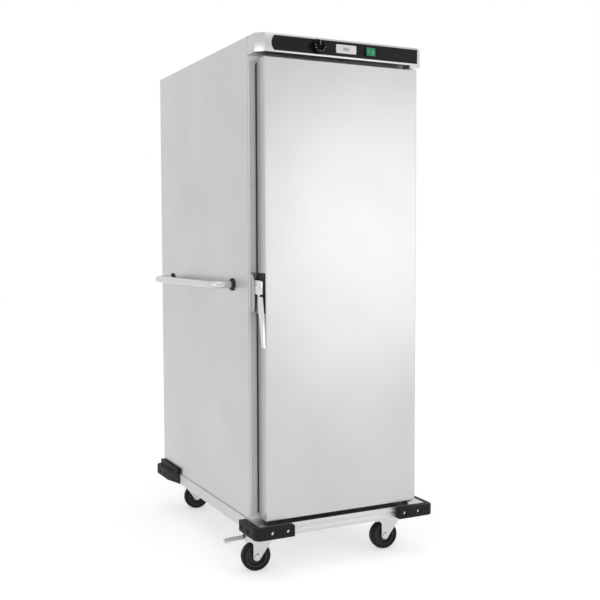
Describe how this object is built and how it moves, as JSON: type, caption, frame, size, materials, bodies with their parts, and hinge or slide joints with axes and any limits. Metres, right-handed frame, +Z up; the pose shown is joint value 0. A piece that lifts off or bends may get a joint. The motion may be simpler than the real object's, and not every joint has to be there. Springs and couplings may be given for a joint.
{
  "type": "heated banquet cart",
  "caption": "Tall insulated stainless banquet cart: full-height hinged door with pull latch, control head, side push handle, rubber corner bumpers, swivel casters.",
  "frame": {"origin": "centre of the footprint on the floor, under the wheels", "axes": "+Z up; the door faces -Y; +X to the right of someone facing the door"},
  "size_m": [0.796, 1.034, 1.76],
  "materials": {
    "satin_stainless": "satin stainless sheet",
    "frame_steel": "satin formed steel",
    "liner_steel": "bright inner sheet",
    "bumper_rubber": "moulded black rubber",
    "zinc_plate": "bright zinc plate",
    "black_panel": "smooth black",
    "foam": "rigid foam",
    "gasket_rubber": "soft matt",
    "knob_plastic": "satin black",
    "display_silver": "silver grey",
    "rocker_green": "lit green",
    "inlet_plastic": "moulded black",
    "latch_chrome": "polished",
    "strike_grey": "satin grey",
    "plate_black": "moulded black",
    "handle_steel": "satin tube",
    "motor_paint": "satin black",
    "impeller_alloy": "plain",
    "element_sheath": "heat tinted",
    "caster_zinc": "bright zinc plate",
    "wheel_plastic": "moulded black",
    "tyre_rubber": "solid black rubber",
    "pedal_steel": "zinc plate"
  },
  "bodies": {
    "cabinet": {"base_frame": "frame_steel", "floor_panel": "satin_stainless", "corner_bumpers": "bumper_rubber", "bumper_bolts": "zinc_plate", "caster_plates": "zinc_plate", "face_frame": "frame_steel", "side_panel_left": "satin_stainless", "side_panel_right": "satin_stainless", "roof_panel": "satin_stainless", "back_panel": "satin_stainless", "power_inlet": "inlet_plastic", "cavity_liner": "liner_steel", "insulation": "foam", "head_housing": "satin_stainless", "control_panel": "black_panel", "thermostat_body": "inlet_plastic", "temperature_display": "display_silver", "switch_housing": "black_panel", "hinge_brackets": "zinc_plate", "strike": "strike_grey", "strike_backplate": "plate_black", "push_handle_left": "handle_steel", "push_handle_right": "handle_steel", "handle_flanges": "plate_black", "rack_left": "liner_steel", "rack_right": "liner_steel", "pan_runners_left": "liner_steel", "pan_runners_right": "liner_steel", "air_baffle": "liner_steel", "fan_motor": "motor_paint", "heating_element": "element_sheath", "water_pan": "liner_steel"},
    "door": {"door_skin": "satin_stainless", "door_liner": "liner_steel", "door_insulation": "foam", "door_gasket": "gasket_rubber", "latch_backplate": "plate_black", "latch_housing": "latch_chrome"},
    "lever": {"latch_lever": "latch_chrome"},
    "knob": {"thermostat_knob": "knob_plastic"},
    "rocker": {"switch_rocker": "rocker_green"},
    "impeller": {"fan_impeller": "impeller_alloy"},
    "swivel_front_left": {"fork_front_left": "caster_zinc", "axle_front_left": "caster_zinc"},
    "roller_front_left": {"wheel_front_left": "wheel_plastic", "tyre_front_left": "tyre_rubber"},
    "pedal_front_left": {"brake_pedal_front_left": "pedal_steel"},
    "swivel_front_right": {"fork_front_right": "caster_zinc", "axle_front_right": "caster_zinc"},
    "roller_front_right": {"wheel_front_right": "wheel_plastic", "tyre_front_right": "tyre_rubber"},
    "pedal_front_right": {"brake_pedal_front_right": "pedal_steel"},
    "swivel_rear_left": {"fork_rear_left": "caster_zinc", "axle_rear_left": "caster_zinc"},
    "roller_rear_left": {"wheel_rear_left": "wheel_plastic", "tyre_rear_left": "tyre_rubber"},
    "swivel_rear_right": {"fork_rear_right": "caster_zinc", "axle_rear_right": "caster_zinc"},
    "roller_rear_right": {"wheel_rear_right": "wheel_plastic", "tyre_rear_right": "tyre_rubber"}
  },
  "joints": [
    {"name": "door_hinge", "type": "hinge", "parent": "cabinet", "child": "door", "pos_m": [0.2785, -0.452, 0.937], "axis": [0, 0, 1], "range_deg": [0, 180]},
    {"name": "latch_pull", "type": "hinge", "parent": "door", "child": "lever", "pos_m": [-0.29825, -0.458, 0.948], "axis": [-1, 0, 0], "range_deg": [0, 30], "stiffness_Nm_per_rad": 0.4},
    {"name": "thermostat_turn", "type": "hinge", "parent": "cabinet", "child": "knob", "pos_m": [-0.103, -0.5, 1.7305], "axis": [0, 1, 0], "range_deg": [0, 270]},
    {"name": "switch_tip", "type": "hinge", "parent": "cabinet", "child": "rocker", "pos_m": [0.096, -0.485, 1.7305], "axis": [0, 0, -1], "range_deg": [0, 14]},
    {"name": "fan_spin", "type": "hinge", "parent": "cabinet", "child": "impeller", "pos_m": [0, 0.371, 1.247], "axis": [0, 1, 0], "continuous": true},
    {"name": "swivel_turn_front_left", "type": "hinge", "parent": "cabinet", "child": "swivel_front_left", "pos_m": [-0.25, -0.398, 0.122], "axis": [0, 0, 1], "continuous": true},
    {"name": "wheel_roll_front_left", "type": "hinge", "parent": "swivel_front_left", "child": "roller_front_left", "pos_m": [-0.28961, -0.39243, 0.05], "axis": [0.1392, 0.9903, 0], "continuous": true},
    {"name": "brake_press_front_left", "type": "hinge", "parent": "swivel_front_left", "child": "pedal_front_left", "pos_m": [-0.32427, -0.38756, 0.1122], "axis": [-0.1392, -0.9903, 0], "range_deg": [0, 16]},
    {"name": "swivel_turn_front_right", "type": "hinge", "parent": "cabinet", "child": "swivel_front_right", "pos_m": [0.25, -0.398, 0.122], "axis": [0, 0, 1], "continuous": true},
    {"name": "wheel_roll_front_right", "type": "hinge", "parent": "swivel_front_right", "child": "roller_front_right", "pos_m": [0.21039, -0.39243, 0.05], "axis": [0.1392, 0.9903, 0], "continuous": true},
    {"name": "brake_press_front_right", "type": "hinge", "parent": "swivel_front_right", "child": "pedal_front_right", "pos_m": [0.17573, -0.38756, 0.1122], "axis": [-0.1392, -0.9903, 0], "range_deg": [0, 16]},
    {"name": "swivel_turn_rear_left", "type": "hinge", "parent": "cabinet", "child": "swivel_rear_left", "pos_m": [-0.25, 0.398, 0.122], "axis": [0, 0, 1], "continuous": true},
    {"name": "wheel_roll_rear_left", "type": "hinge", "parent": "swivel_rear_left", "child": "roller_rear_left", "pos_m": [-0.21039, 0.39243, 0.05], "axis": [-0.1392, -0.9903, 0], "continuous": true},
    {"name": "swivel_turn_rear_right", "type": "hinge", "parent": "cabinet", "child": "swivel_rear_right", "pos_m": [0.25, 0.398, 0.122], "axis": [0, 0, 1], "continuous": true},
    {"name": "wheel_roll_rear_right", "type": "hinge", "parent": "swivel_rear_right", "child": "roller_rear_right", "pos_m": [0.28625, 0.41491, 0.05], "axis": [0.4226, -0.9063, 0], "continuous": true}
  ]
}
